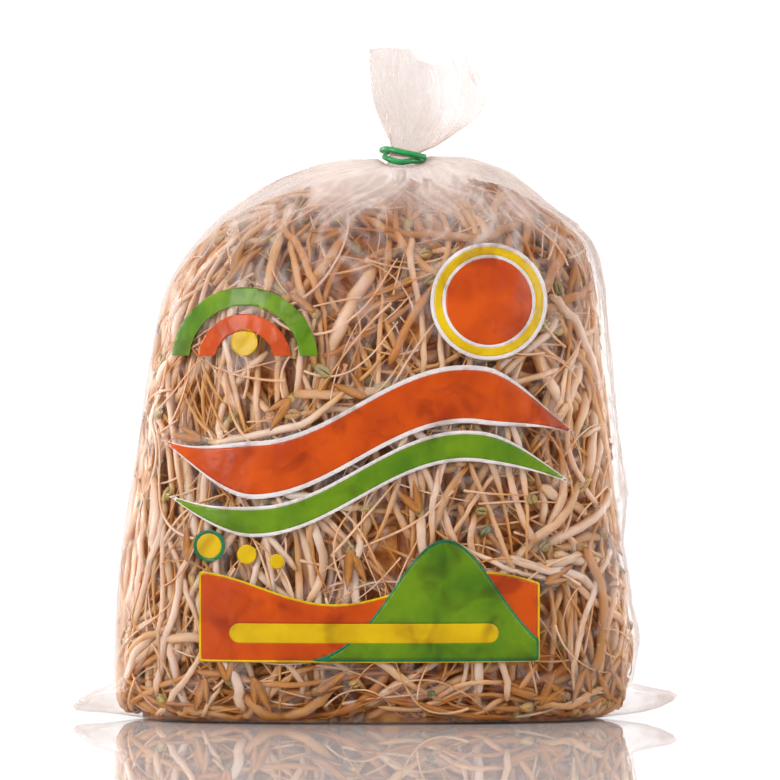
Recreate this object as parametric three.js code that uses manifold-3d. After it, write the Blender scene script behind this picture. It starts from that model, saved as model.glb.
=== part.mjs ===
// A clear film bag of mung bean sprouts, gathered at the neck and closed with a green tie.
// Millimetres, +Z up. The origin is on the resting surface, under the middle of the bag,
// and the printed front faces -Y. The bag stands on its flat bottom.
//
// Three pieces: the sprouts, one tangled bunch; the film, one tube welded flat at the bottom
// and open at its gathered top; and the tie round the neck.

import * as THREE from "three";
import { mergeVertices } from "three/addons/utils/BufferGeometryUtils.js";
import Module from "manifold-3d";

const { PI, cos, sin, abs, min, max, hypot } = Math;
const SMALLEST_FEATURE = 0.04; // slivers that joining leaves are tidied away below this
const WELD = 1e-3; // points of a joined surface that lie this close are one

// ---------------------------------------------------------------- driving dimensions

const FILM_WALL = 0.8; // far thicker than real film, so that it is a sound solid
const FLOOR_INSET = 1.2; // of the inside's lowest edge, where the bottom meets the walls
const FILM_CLEARANCE = 0.9; // left between the film and what it holds, where both are faceted
const PLEATS = 10;
const FILM_SIDES = 5 * PLEATS; // points round a section
const SECTION_POWER = 2.35; // 2 is an ellipse, more is boxier

const FOLDS_START = 148; // above here the body's film is pleated
const FOLD_DEPTH = 2.2; // of half a pleat, at the neck

const NECK_X = 10.5; // the neck stands right of the middle
const NECK_RADIUS = 6.2;
const NECK_CHANNEL_RADIUS = 2.2; // the way left through the gathered film
const NECK_BOTTOM = 207.2;
const NECK_TOP = 214.4;

// The standing bag, from the bottom up: height, and how far the film reaches to the left,
// to the right, and to the front and back alike.
const BODY_STATIONS = [
  { z: 0, left: 80, right: 80, depth: 37 },
  { z: 2.5, left: 91, right: 90.5, depth: 43 },
  { z: 9, left: 96.5, right: 95.5, depth: 46.5 },
  { z: 30, left: 97.5, right: 98.2, depth: 50.1 },
  { z: 60, left: 96.2, right: 95.5, depth: 52.5 },
  { z: 100, left: 90, right: 93, depth: 54 },
  { z: 140, left: 84, right: 89, depth: 53 },
  { z: 163, left: 79, right: 87, depth: 49.5 },
  { z: 179, left: 69, right: 82.5, depth: 43.5 },
  { z: 191, left: 56, right: 70, depth: 35 },
  { z: 200, left: 37, right: 55, depth: 26 },
  { z: 205.5, left: 15, right: 37, depth: 17.5 },
];

const BODY_HEIGHTS = [0, 2, 5, 8, 12, 30, 62, 100, 138, 163, 178, 189, 198, 205.5]; // of its rings
// The last ring under the neck, where the folds lie close.
const THROAT = { z: 206, middle: 11, width: 14, depth: 9, pleat: 0.8, wall: 1.6 };
// The two shoulders swell up beside the neck, from this height.
const SHOULDERS = { start: 194, left: 2.5, right: 4.5 };

// The tuft of loose film above the tie, up to its ragged top: height, edges, depth, pleat depth.
const TUFT_STATIONS = [
  { z: 218.5, left: -3.4, right: 27, depth: 8, pleat: 1.2 },
  { z: 225, left: -0.9, right: 37, depth: 10, pleat: 3 },
  { z: 233, left: 2.4, right: 42, depth: 11.5, pleat: 4.2 },
  { z: 242, left: 3.8, right: 42.5, depth: 12.5, pleat: 4.8 },
  { z: 249, left: 3.4, right: 39, depth: 13, pleat: 5 },
];
const TUFT_RAGGED = 2.6; // how much its top edge rises and falls
const TUFT_ROOT_WALL = 2.4; // where its folds leave the neck

// The two bottom corners of the flat-welded tube stick out sideways as ears.
const EAR_TIP = 114.4; // from the middle
const EAR_HEIGHT = 6; // of its middle
const EAR_HALF_RISE = 5;
const EAR_HALF_DEPTH = 10;

// The bunch: upright sprouts packed side by side, with others lying across them.
const BUNCH_TOP = 201;
const BUNCH_DOME = 32; // height of its rounded top
const DOME_DRAW = 15; // how far the dome draws in from the film
const EDGE_STEPS = 240; // into which a section's edge is cut to measure it
const ROWS = 60; // of upright sprouts, side by side round the bunch
const RINGS = 14;
const FURROW_DEPTH = 3.5;
const ROOT_SINK = 1.2; // how far an upright sprout's root lies deeper than its seed end
const ROW_SWAY = 0.03; // how far the rows swing aside, as a share of the way round
const CROSSING_COUNT = 46;
const CROSSING_GAP = 6.5;
const CROSSING_RISE = 0.8; // of a crossing sprout's middle over the upright ones' backs
const STEM_RADIUS = 2.3; // stout, as fewer of them cover the bunch
const STEM_LENGTH = 60;
const STEM_STEPS = 5;
const STEM_SIDES = 3;
const STEM_BEND = 0.011; // most turn for each millimetre of its length
const ROOT_SHARE = 0.4; // of its length
const ROOT_TIP_RADIUS = 0.8;
const BEAN_RADIUS = 2.5;
const BEAN_STATIONS = [ // along the bean from the stem's end, and the share of its radius there
  { along: -3.5, share: 0.45 },
  { along: 0, share: 0.95 },
  { along: 4, share: 0.9 },
  { along: 6.5, share: 0.35 },
];

const TIE_RADIUS = 0.95; // of the covered wire
// Its line: once over the front, round behind, and over the front again in a shallow V.
const TIE_LINE = [
  [18.9, -6.4, 209.9],
  [14.4, -8, 210.9],
  [9, -8, 212.1],
  [4.4, -5.6, 213],
  [2.6, -0.4, 212.7],
  [4.8, 5.4, 212.2],
  [10.5, 7.9, 211.4],
  [16.3, 5.4, 210.5],
  [18.4, 0, 209.5],
  [16.6, -4.8, 208.7],
  [13.4, -7.5, 208.5],
  [9.5, -8.4, 208],
  [5.6, -7.6, 209],
  [3.3, -5.2, 210.3],
];
const TIE_STEPS = 42;
const TIE_SIDES = 8;

// ---------------------------------------------------------------- small tools

const wasm = await Module();
wasm.setup();

/** Repeatable random numbers from 0 to 1. */
function randomFrom(seed) {
  let state = seed;
  return () => {
    state = (state + 0x6d2b79f5) | 0;
    let t = Math.imul(state ^ (state >>> 15), 1 | state);
    t = (t + Math.imul(t ^ (t >>> 7), 61 | t)) ^ t;
    return ((t ^ (t >>> 14)) >>> 0) / 4294967296;
  };
}

/** A smooth value at height z, through the named values of the stations. */
function smoothAt(stations, key, z) {
  const last = stations.length - 1;
  const above = stations.findIndex((station) => station.z > z);
  const i = above < 0 ? last - 1 : max(0, above - 1);
  const slope = (k) => {
    const low = stations[max(0, k - 1)];
    const high = stations[min(last, k + 1)];
    return (high[key] - low[key]) / (high.z - low.z);
  };
  const [a, b] = [stations[i], stations[i + 1]];
  const span = b.z - a.z;
  const t = min(1, max(0, (z - a.z) / span));
  const [t2, t3] = [t * t, t * t * t];
  return (
    (2 * t3 - 3 * t2 + 1) * a[key] +
    (t3 - 2 * t2 + t) * span * slope(i) +
    (3 * t2 - 2 * t3) * b[key] +
    (t3 - t2) * span * slope(i + 1)
  );
}

/** A closed surface through rings of points, with a fan at each end. */
function loft(rings) {
  const sides = rings[0].length;
  const middle = (ring) =>
    ring.reduce((sum, p) => sum.add(p), new THREE.Vector3()).divideScalar(sides);
  const points = [middle(rings[0]), ...rings.flat(), middle(rings[rings.length - 1])];
  const top = points.length - 1;
  const at = (ring, side) => 1 + ring * sides + (side % sides);
  const faces = [];
  for (let s = 0; s < sides; s++) {
    faces.push(0, at(0, s + 1), at(0, s));
    faces.push(top, at(rings.length - 1, s), at(rings.length - 1, s + 1));
    for (let r = 0; r + 1 < rings.length; r++) {
      faces.push(at(r, s), at(r, s + 1), at(r + 1, s + 1));
      faces.push(at(r, s), at(r + 1, s + 1), at(r + 1, s));
    }
  }
  const geometry = new THREE.BufferGeometry().setFromPoints(points);
  geometry.setIndex(faces);
  return geometry;
}

/** A three.js geometry as a solid that can be joined. Points closer than the weld become one. */
function solidFrom(geometry, weld = 1e-4) {
  const bare = geometry.clone();
  bare.deleteAttribute("normal");
  bare.deleteAttribute("uv");
  const merged = mergeVertices(bare, weld);
  return new wasm.Manifold(
    new wasm.Mesh({
      numProp: 3,
      vertProperties: merged.attributes.position.array,
      triVerts: new Uint32Array(merged.index.array),
    }),
  );
}

/** A joined solid back as a three.js geometry. */
function geometryFrom(solid) {
  const mesh = solid.getMesh();
  const geometry = new THREE.BufferGeometry();
  geometry.setAttribute("position", new THREE.BufferAttribute(mesh.vertProperties, 3));
  geometry.setIndex(new THREE.BufferAttribute(mesh.triVerts, 1));
  geometry.computeVertexNormals();
  return geometry;
}

/** The largest body of a joined solid, with no loose scrap and no sealed hollow. */
function oneBody(solid) {
  let bodies = solid.decompose();
  let largest = solid;
  while (bodies.length > 1) {
    largest = bodies.reduce((a, b) => (a.volume() > b.volume() ? a : b));
    largest = solidFrom(geometryFrom(largest), WELD);
    bodies = largest.decompose();
  }
  return largest;
}

// ---------------------------------------------------------------- the bag's form

/** The film's section at a height: its middle, half width and half depth. */
function bodySection(z) {
  const left = smoothAt(BODY_STATIONS, "left", z);
  const right = smoothAt(BODY_STATIONS, "right", z);
  return {
    middle: (right - left) / 2,
    width: (right + left) / 2,
    depth: smoothAt(BODY_STATIONS, "depth", z),
  };
}

/** A point of a boxy oval, for a turn of angle. */
function ovalPoint(angle, width, depth) {
  const bend = 2 / SECTION_POWER;
  const [c, s] = [cos(angle), sin(angle)];
  return [
    width * Math.sign(c) * abs(c) ** bend,
    depth * Math.sign(s) * abs(s) ** bend,
  ];
}

/** How deep the film's folds are where the body is drawn in towards the neck. */
function foldsAt(z) {
  return FOLD_DEPTH * max(0, (z - FOLDS_START) / (NECK_BOTTOM - FOLDS_START));
}

/** The room for the bunch at a height: inside the film's folds, and drawn in to a rounded top. */
function bunchSection(z) {
  const { middle, width, depth } = bodySection(z);
  const up = max(0, (z - BUNCH_TOP + BUNCH_DOME) / BUNCH_DOME);
  const drawn = 2 * foldsAt(z) + DOME_DRAW * up ** 3;
  return { middle, width: width - drawn, depth: depth - drawn };
}

/** How far out a point lies: 1 at the edge of the bunch's room, less inside. */
function reachOf(p) {
  const { middle, width, depth } = bunchSection(min(BUNCH_TOP, max(0, p.z)));
  const x = abs(p.x - middle) / width;
  const y = abs(p.y) / depth;
  return (x ** SECTION_POWER + y ** SECTION_POWER) ** (1 / SECTION_POWER);
}

/** The outward slope of reachOf at a point. */
function slopeOf(p) {
  const step = 0.5;
  const along = (axis) => {
    const ahead = p.clone().addScaledVector(axis, step);
    const back = p.clone().addScaledVector(axis, -step);
    return (reachOf(ahead) - reachOf(back)) / (2 * step);
  };
  return new THREE.Vector3(
    along(new THREE.Vector3(1, 0, 0)),
    along(new THREE.Vector3(0, 1, 0)),
    along(new THREE.Vector3(0, 0, 1)),
  );
}

/** The nearest place to p that lies the given depth inside the bunch's room. */
function settle(p, inset) {
  const placed = p.clone();
  for (let turn = 0; turn < 5; turn++) {
    const slope = slopeOf(placed);
    const size = max(slope.length(), 1e-3);
    const off = (reachOf(placed) - 1) / size + inset;
    placed.addScaledVector(slope, -off / size);
    placed.z = min(BUNCH_TOP, max(inset, placed.z));
  }
  return placed;
}

// ---------------------------------------------------------------- the sprouts

const CROSSING_INSET = FILM_WALL + FILM_CLEARANCE + STEM_RADIUS;
const BEAN_INSET = FILM_WALL + FILM_CLEARANCE + BEAN_RADIUS;
const BACK_INSET = CROSSING_INSET + CROSSING_RISE;

/** The point of a section's edge where a share of the way round it is done. */
function edgePoint(share, { middle, width, depth }, z) {
  const at = (i) => ovalPoint((2 * PI * i) / EDGE_STEPS, width, depth);
  const reached = [0];
  for (let i = 0; i < EDGE_STEPS; i++) {
    const [[x0, y0], [x1, y1]] = [at(i), at(i + 1)];
    reached.push(reached[i] + hypot(x1 - x0, y1 - y0));
  }
  const wanted = (share - Math.floor(share)) * reached[EDGE_STEPS];
  const i = reached.findIndex((length) => length > wanted) - 1;
  const [x, y] = at(i + (wanted - reached[i]) / (reached[i + 1] - reached[i]));
  return new THREE.Vector3(x + middle, y, z);
}

/**
 * The upright sprouts, side by side round the bunch, each with a back between two furrows.
 * Every row holds sprouts end to end. Each starts at its own height and sinks to its root.
 */
function uprights(random) {
  const starts = Array.from({ length: ROWS }, () => STEM_LENGTH * random());
  const rings = Array.from({ length: RINGS }, (_, r) => {
    const up = r / (RINGS - 1);
    const z = BACK_INSET + ((BUNCH_TOP - 2 * BACK_INSET) * (up + sin((PI * up) / 2))) / 2;
    return Array.from({ length: 2 * ROWS }, (__, s) => {
      const share = s / (2 * ROWS);
      const sway = ROW_SWAY * sin(z / 30 + 6 * PI * share) * sin(z / 47 - 2 * PI * share);
      const down = ((starts[s >> 1] + z) % STEM_LENGTH) / STEM_LENGTH;
      const sink = s % 2 ? FURROW_DEPTH : ROOT_SINK * down;
      return settle(edgePoint(share + sway, bunchSection(z), z), BACK_INSET + sink);
    });
  });
  return loft(rings);
}

/** A sprout's centre line across the upright ones, from its seed end, curving evenly. */
function crossingLine(random) {
  const z = BUNCH_TOP * random();
  const bend = STEM_BEND * (2 * random() - 1);
  const step = (STEM_LENGTH * (0.75 + 0.4 * random())) / STEM_STEPS;
  let here = settle(edgePoint(random(), bunchSection(z), z), CROSSING_INSET);
  const outward = slopeOf(here).normalize();
  const level = new THREE.Vector3(0, 0, 1).cross(outward).normalize();
  const ahead = level.applyAxisAngle(outward, 2 * PI * random());
  const line = [here];
  for (let i = 0; i < STEM_STEPS; i++) {
    here = settle(here.clone().addScaledVector(ahead, step), CROSSING_INSET);
    ahead.copy(here).sub(line[i]).normalize();
    ahead.applyAxisAngle(slopeOf(here).normalize(), bend * step);
    line.push(here);
  }
  return line;
}

/** Whether two centre lines keep their distance. */
function liesClear(line, other) {
  const piece = new THREE.Line3();
  const near = new THREE.Vector3();
  return line.every((p) =>
    other.slice(1).every((end, k) => {
      piece.set(other[k], end).closestPointToPoint(p, true, near);
      return near.distanceTo(p) > CROSSING_GAP;
    }),
  );
}

/** Crossing lines that lie clear of each other, and of the bunch's flat bottom and its peak. */
function crossingLines(random) {
  const placed = [];
  const fits = (line) =>
    line.every(({ z }) => z > 1.5 * CROSSING_INSET && z < BUNCH_TOP - CROSSING_INSET) &&
    placed.every((other) => liesClear(line, other) && liesClear(other, line));
  while (placed.length < CROSSING_COUNT) {
    const line = crossingLine(random);
    if (fits(line)) placed.push(line);
  }
  return placed;
}

/** A bar along a line, with a radius of its own at each point and one edge facing out. */
function bar(line, radii, sides) {
  const rings = line.map((p, i) => {
    const before = line[max(0, i - 1)];
    const after = line[min(line.length - 1, i + 1)];
    const ahead = after.clone().sub(before).normalize();
    const across = ahead.clone().cross(slopeOf(p)).normalize();
    const up = across.clone().cross(ahead);
    return Array.from({ length: sides }, (_, s) => {
      const turn = (2 * PI * s) / sides;
      return p
        .clone()
        .addScaledVector(across, radii[i] * sin(turn))
        .addScaledVector(up, radii[i] * cos(turn));
    });
  });
  return loft(rings);
}

/** A white stem that tapers into its root. Both its ends are pressed in among the others. */
function stem(line) {
  const last = line.length - 1;
  const radii = line.map((_, i) => {
    const down = max(0, (i / last - (1 - ROOT_SHARE)) / ROOT_SHARE);
    return STEM_RADIUS * (1 - down) + ROOT_TIP_RADIUS * down;
  });
  const pressed = line.map((p, i) => (i === last ? settle(p, BACK_INSET + 1) : p));
  return bar(pressed, radii, STEM_SIDES);
}

/** The two seed leaves at a stem's upper end, as one closed bean. */
function bean(line) {
  const ahead = line[0].clone().sub(line[1]).normalize();
  const middles = BEAN_STATIONS.map(({ along }) => {
    const p = line[0].clone().addScaledVector(ahead, along);
    return settle(p, BEAN_INSET);
  });
  return bar(middles, BEAN_STATIONS.map(({ share }) => share * BEAN_RADIUS), STEM_SIDES + 1);
}

/** The whole bunch: one tangled body of sprouts. */
function sprouts() {
  const random = randomFrom(20);
  const pieces = [uprights(random)];
  for (const line of crossingLines(random)) pieces.push(stem(line), bean(line));
  const joined = wasm.Manifold.union(pieces.map((piece) => solidFrom(piece)));
  return geometryFrom(oneBody(joined.simplify(SMALLEST_FEATURE)));
}

// ---------------------------------------------------------------- the film

/** How far an ear draws a point of the bottom edge out sideways. */
function earReach(y, z) {
  const rise = (z - EAR_HEIGHT) / EAR_HALF_RISE;
  return max(0, 1 - rise * rise) * Math.exp(-((y / EAR_HALF_DEPTH) ** 2));
}

/** How far a shoulder swells up at a turn of angle round the ring of a height. */
function swellAt(z, angle) {
  const share = min(1, max(0, (z - SHOULDERS.start) / (THROAT.z - SHOULDERS.start)));
  const side = cos(angle) < 0 ? SHOULDERS.left : SHOULDERS.right;
  return z > THROAT.z ? 0 : share * side * cos(angle) ** 2;
}

/** One ring of the film's outside. Pleats turn in and out by their depth. */
function filmRing({ z, middle, width, depth, pleat = 0, ragged = 0 }) {
  return Array.from({ length: FILM_SIDES }, (_, s) => {
    const angle = (2 * PI * s) / FILM_SIDES;
    const wave = cos(PLEATS * angle);
    const [x, y] = ovalPoint(angle, width - pleat, depth - pleat);
    const size = max(1e-6, hypot(x, y));
    const out = 1 + (pleat * wave) / size;
    const point = new THREE.Vector3(x * out, y * out, z);
    point.z += swellAt(z, angle) + ragged * sin(2 * angle + 0.6) + 0.4 * ragged * cos(5 * angle);
    const side = Math.sign(point.x);
    point.x += side * earReach(y, z) * (EAR_TIP - side * middle - width);
    point.x += middle;
    return point;
  });
}

/** The film's rings from the bottom, up the body, through the neck and out to the tuft's edge. */
function outsideRings() {
  const body = BODY_HEIGHTS.map((z) => ({ z, ...bodySection(z), pleat: foldsAt(z), wall: FILM_WALL }));
  const neck = [NECK_BOTTOM, (NECK_BOTTOM + NECK_TOP) / 2, NECK_TOP].map((z) => ({
    z,
    middle: NECK_X,
    width: NECK_RADIUS,
    depth: NECK_RADIUS,
    wall: NECK_RADIUS - NECK_CHANNEL_RADIUS,
  }));
  const top = TUFT_STATIONS.length - 1;
  const tuft = TUFT_STATIONS.map(({ z, left, right, depth, pleat }, i) => ({
    z,
    middle: (right - left) / 2,
    width: (right + left) / 2,
    depth,
    pleat,
    wall: i === 0 ? TUFT_ROOT_WALL : FILM_WALL,
    ragged: i === top ? TUFT_RAGGED : 0,
  }));
  return [...body, THROAT, ...neck, ...tuft];
}

/** The film: its outside, turned over at the tuft's edge into its inside. */
function film() {
  const stations = outsideRings();
  const outside = stations.map(filmRing);
  const last = outside.length - 1;
  const inside = outside.map((ring, r) =>
    ring.map((point, s) => {
      const { wall } = stations[r];
      if (r === 0) {
        const inward = new THREE.Vector3(-point.x, -point.y, 0).setLength(FLOOR_INSET);
        return point.clone().add(inward).setZ(FILM_WALL);
      }
      const before = ring[(s + FILM_SIDES - 1) % FILM_SIDES];
      const after = ring[(s + 1) % FILM_SIDES];
      const round = after.clone().sub(before);
      const upward = outside[min(last, r + 1)][s].clone().sub(outside[r - 1][s]);
      const outward = round.cross(upward).normalize();
      if (r === last) outward.setZ(0).normalize();
      const inner = point.clone().addScaledVector(outward, -wall);
      inner.z = max(inner.z, FILM_WALL);
      return inner;
    }),
  );
  return loft([...outside, ...inside.reverse()]);
}

// ---------------------------------------------------------------- the tie

/** The covered wire, wound one and a half times round the neck. */
function tie() {
  const line = TIE_LINE.map(([x, y, z]) => new THREE.Vector3(x, y, z));
  const section = new THREE.Shape();
  section.absarc(0, 0, TIE_RADIUS, 0, 2 * PI, false);
  return new THREE.ExtrudeGeometry(section, {
    steps: TIE_STEPS,
    curveSegments: TIE_SIDES / 2,
    bevelEnabled: false,
    extrudePath: new THREE.CatmullRomCurve3(line),
  });
}

// ---------------------------------------------------------------- the assembly

const SPROUT_WHITE = new THREE.MeshStandardMaterial({ color: 0xe6d3b8, roughness: 0.45, metalness: 0 });
const CLEAR_FILM = new THREE.MeshStandardMaterial({
  color: 0xf2eeec,
  roughness: 0.15,
  metalness: 0,
  transparent: true,
  opacity: 0.25,
});
const TIE_GREEN = new THREE.MeshStandardMaterial({ color: 0x0f8f45, roughness: 0.35, metalness: 0 });

const bag = new THREE.Group();
for (const [name, geometry, material] of [
  ["sprouts", sprouts(), SPROUT_WHITE],
  ["bag_film", film(), CLEAR_FILM],
  ["neck_tie", tie(), TIE_GREEN],
]) {
  const mesh = new THREE.Mesh(geometry, material);
  mesh.name = name;
  bag.add(mesh);
}

export default bag;
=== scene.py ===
import math

import bpy
import numpy as np
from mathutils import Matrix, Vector, noise


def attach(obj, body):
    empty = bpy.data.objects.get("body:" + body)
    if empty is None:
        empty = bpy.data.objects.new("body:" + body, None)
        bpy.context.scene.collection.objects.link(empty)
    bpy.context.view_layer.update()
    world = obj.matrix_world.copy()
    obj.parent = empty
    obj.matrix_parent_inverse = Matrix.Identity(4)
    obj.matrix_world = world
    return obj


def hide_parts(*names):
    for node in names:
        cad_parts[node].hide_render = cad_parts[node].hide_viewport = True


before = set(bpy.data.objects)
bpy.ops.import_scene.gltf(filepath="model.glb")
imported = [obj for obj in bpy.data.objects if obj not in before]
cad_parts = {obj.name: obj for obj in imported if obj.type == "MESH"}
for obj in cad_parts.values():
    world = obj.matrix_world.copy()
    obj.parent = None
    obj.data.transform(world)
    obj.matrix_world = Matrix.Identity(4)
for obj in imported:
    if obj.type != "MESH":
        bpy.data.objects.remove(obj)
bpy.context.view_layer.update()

# ---- the sprouts' stems
# Some fourteen hundred germinated mung beans, loose in the bag: a crisp white stem that runs
# out into a thin tan root. They lie as they fell when the bag was filled, in bundles that
# cross each other, pressed against the film. Each one is pushed clear of its neighbours.

MM = 0.001  # sizes are in millimetres, and meshes are made in metres
BODY_STATIONS = np.array([  # the standing bag: height, reach to the left, right, and front and back
    (0, 86, 83, 37.5), (2.5, 94.5, 92, 43), (9, 98, 96, 46.5), (30, 98, 98.2, 50.1),
    (60, 96.2, 95.5, 52.5), (100, 90, 93, 54), (140, 84, 89, 53), (163, 79, 87, 49.5),
    (179, 69, 82.5, 43.5), (191, 56, 70, 35), (200, 37, 55, 26), (205.5, 15, 37, 17.5),
], float)
BOXINESS = 2.35  # of a section: 2 is an ellipse
SPROUTS = 1400
POINTS = 25  # along one sprout
SPROUT_LENGTH = (58, 98)  # stem and root together
STEM_SHARE = 0.52  # of the length, where it starts to taper into the root
STEM_RADIUS = (0.85, 1.8)
ROOT_RADIUS = (0.4, 0.8)
STEM_SIDES = 6
PRESSED = 0.55  # how much of its radius a stem keeps where the film presses on it
BEAN_SHARE = 0.42  # of the sprouts that still show their seed leaves
BUNCH_TOP = 205
FILM_GAP = 1.2  # from the film to the outermost stems; it closes at the bag's base
BUNCH_DEPTH = 15  # how deep the loose sprouts lie under the film
SWEEPS = 75  # of pushing them apart
NEAR = 4.4  # sprouts whose lines are further apart than this don't touch
BEAN_ROOM = 2.8  # the radius that a sprout's seed leaves take up
CROWDING = 0.96  # how close two lines may come, as a share of their radii
PUSH, PULL = 1.6, 0.3  # how hard crowded points are pushed apart, and points too deep pulled out
CLEAR_OF_FLOOR = 0.3

SEED = 11
random = np.random.default_rng(SEED)


def smooth_through(at, stations, column):
    """A column of the stations, as a smooth curve over their first one."""
    knots, values = stations[:, 0], stations[:, column]
    slopes = np.gradient(values, knots)
    slopes[1:-1] = (values[2:] - values[:-2]) / (knots[2:] - knots[:-2])
    i = np.clip(np.searchsorted(knots, at, side="right") - 1, 0, len(knots) - 2)
    span = knots[i + 1] - knots[i]
    t = np.clip((at - knots[i]) / span, 0, 1)
    return (
        (2 * t**3 - 3 * t**2 + 1) * values[i] + (t**3 - 2 * t**2 + t) * span * slopes[i]
        + (3 * t**2 - 2 * t**3) * values[i + 1] + (t**3 - t**2) * span * slopes[i + 1]
    )


def rise(value, low, high):
    """0 below low, 1 above high, and smooth between."""
    t = np.clip((value - low) / (high - low), 0, 1)
    return t * t * (3 - 2 * t)


room_z = np.linspace(0, BUNCH_TOP, 400)
room_draw = 5 * np.clip((room_z - 150) / 53, 0, 1) + 9 * np.clip((room_z - 176) / 29, 0, 1) ** 2
loose_side = 2.8 * rise(room_z, 40, 90) * rise(-room_z, -200, -170)  # the film stands off at the right
room_left = smooth_through(room_z, BODY_STATIONS, 1) - room_draw
room_right = smooth_through(room_z, BODY_STATIONS, 2) - 0.6 * room_draw - loose_side
room_depth = smooth_through(room_z, BODY_STATIONS, 3) - room_draw
room_middle, room_width = (room_right - room_left) / 2, (room_right + room_left) / 2
ROOM = [(table, np.gradient(table, room_z)) for table in (room_middle, room_width, room_depth)]


def depth_under_film(points):
    """How deep points lie under the film, and the outward direction there."""
    z = np.clip(points[..., 2], 0, BUNCH_TOP)
    (m, dm), (w, dw), (d, dd) = (
        (np.interp(z, room_z, table), np.interp(z, room_z, slope)) for table, slope in ROOM
    )
    u, v = (points[..., 0] - m) / w, points[..., 1] / d
    reach = np.maximum((np.abs(u) ** BOXINESS + np.abs(v) ** BOXINESS) ** (1 / BOXINESS), 1e-6)
    along_u = reach ** (1 - BOXINESS) * np.abs(u) ** (BOXINESS - 1) * np.sign(u)
    along_v = reach ** (1 - BOXINESS) * np.abs(v) ** (BOXINESS - 1) * np.sign(v)
    slope = np.stack([
        along_u / w, along_v / d, along_u * (-dm - u * dw) / w - along_v * v * dd / d,
    ], -1)
    size = np.maximum(np.linalg.norm(slope, axis=-1, keepdims=True), 1e-6)
    return (1 - reach) / size[..., 0], slope / size


def gap_at(z):
    return FILM_GAP * (0.2 + 0.8 * rise(z, 2, 14))


def settle(points, depth):
    """Moves points to a depth under the film."""
    for _ in range(3):
        here, out = depth_under_film(points)
        points = points + out * (here - depth)[..., None]
        points[..., 2] = np.clip(points[..., 2], FILM_GAP + 0.8, BUNCH_TOP)
    return points


def unit(vectors):
    return vectors / np.maximum(np.linalg.norm(vectors, axis=-1, keepdims=True), 1e-9)


def places_under_film(count, depth):
    """Places spread evenly round and up the bag, each at its own depth."""
    tries = 4 * count
    around, height = random.random(tries) * 2 * math.pi, 2 + random.random(tries) * (BUNCH_TOP - 6)
    room = (np.interp(height, room_z, room_width) + 25) / 125
    kept = random.random(tries) < room * (0.7 + 0.6 * rise(height, 168, 192) + 1.5 * rise(-height, -12, -3))
    around, height = around[kept][:count], height[kept][:count]
    across, deep = np.interp(height, room_z, room_width), np.interp(height, room_z, room_depth)
    middle = np.interp(height, room_z, room_middle)
    return settle(np.stack([np.cos(around) * across + middle, np.sin(around) * deep, height], -1), depth)


def lie_of_sprouts(places, layer):
    """The way sprouts lie, as a turn from level: upright at the left, level low down, else in bundles."""
    left, low = np.clip((-10 - places[:, 0]) / 50, 0, 1), np.clip((34 - places[:, 2]) / 22, 0, 1)
    bundle = np.array([
        noise.noise(Vector((x / 34, y / 34 + 40 * k, z / 44))) for (x, y, z), k in zip(places, layer)
    ])
    upright = math.pi / 2 + bundle * (2.9 - 2.1 * left)
    return upright * (1 - low) + 0.9 * bundle * low + random.normal(0, 0.24, len(places))


def grow(start, turn, depth, points, step, bend, swing):
    """Lines that grow both ways from their starts, curving, at a depth under the film."""
    outward = depth_under_film(start)[1]
    level = unit(np.cross([0, 0, 1.0], outward))
    heading = level * np.cos(turn)[:, None] + np.cross(outward, level) * np.sin(turn)[:, None]
    lines = np.zeros((len(start), points, 3))
    half = points // 2
    lines[:, half] = start
    for way in (1, -1):
        here, ahead = start.copy(), heading * way
        for i in range(half + way, points if way > 0 else -1, way):
            here = settle(here + ahead * step[:, None], depth)
            ahead = unit(here - lines[:, i - way])
            curve = (bend + swing * math.sin(5.0 * i / points)) * step * way
            ahead = unit(ahead + np.cross(depth_under_film(here)[1], ahead) * curve[:, None])
            lines[:, i] = here
    return lines


depth = FILM_GAP + 2 + (BUNCH_DEPTH - 5) * random.random(SPROUTS) ** 1.15
start = places_under_film(SPROUTS, depth)
turn = lie_of_sprouts(start, np.floor(depth / 4)) + math.pi * (random.random(SPROUTS) < 0.5)
step = random.uniform(*SPROUT_LENGTH, SPROUTS) / (POINTS - 1)
lines = grow(
    start, turn, depth, POINTS, step, random.normal(0, 0.013, SPROUTS), random.normal(0, 0.013, SPROUTS)
)
along = np.linspace(0, 1, POINTS)
taper = np.clip((along - STEM_SHARE) / (0.82 - STEM_SHARE), 0, 1)
thinning = 1 - 0.5 * np.clip((along - 0.82) / 0.18, 0, 1)
root_radius = random.uniform(*ROOT_RADIUS, SPROUTS)[:, None] * thinning
stem_radius = random.uniform(*STEM_RADIUS, SPROUTS) * np.where(random.random(SPROUTS) < 0.12, 1.15, 1)
radii = stem_radius[:, None] * (1 - taper) ** 1.3 * (0.94 + 0.1 * np.sin(3 * along + 1)) + root_radius * taper
bears_bean = random.random(SPROUTS) < BEAN_SHARE


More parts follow.
